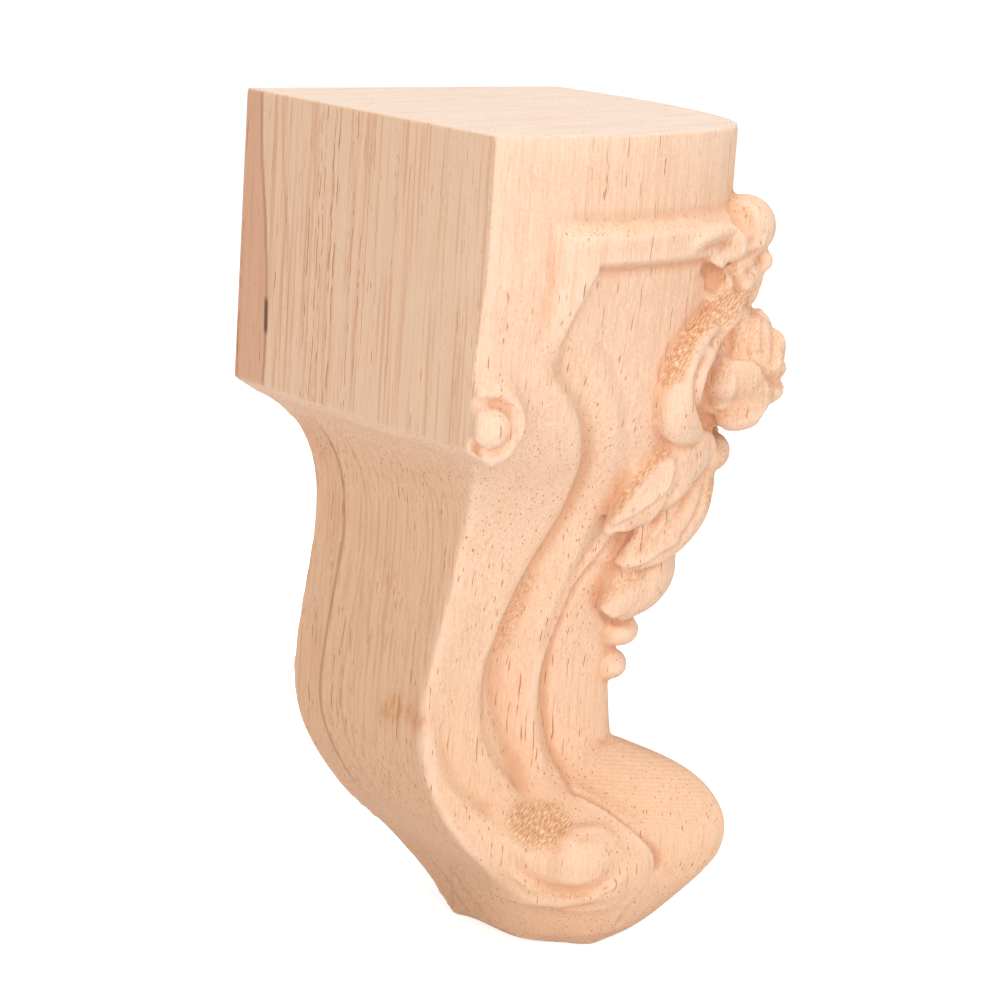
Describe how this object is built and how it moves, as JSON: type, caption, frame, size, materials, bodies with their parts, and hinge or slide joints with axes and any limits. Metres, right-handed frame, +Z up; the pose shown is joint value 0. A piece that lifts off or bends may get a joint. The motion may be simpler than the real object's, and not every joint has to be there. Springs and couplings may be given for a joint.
{
  "type": "carved furniture leg",
  "caption": "Short carved corner leg of pale unfinished hardwood, with a bowed front carved with a flower, leaves and scrolls, two flat inner faces and a flat top.",
  "frame": {"origin": "centre of the leg's bounding box in plan, at the level of the sole", "axes": "+Z up, -Y out through the middle of the carved front, +Y toward the square inner corner, X across the leg from side corner to side corner"},
  "size_m": [0.0672, 0.066, 0.1],
  "materials": {
    "wood": "raw sanded and carved hardwood, no stain or varnish"
  },
  "bodies": {
    "root": {"carved_leg": "wood"}
  },
  "joints": []
}
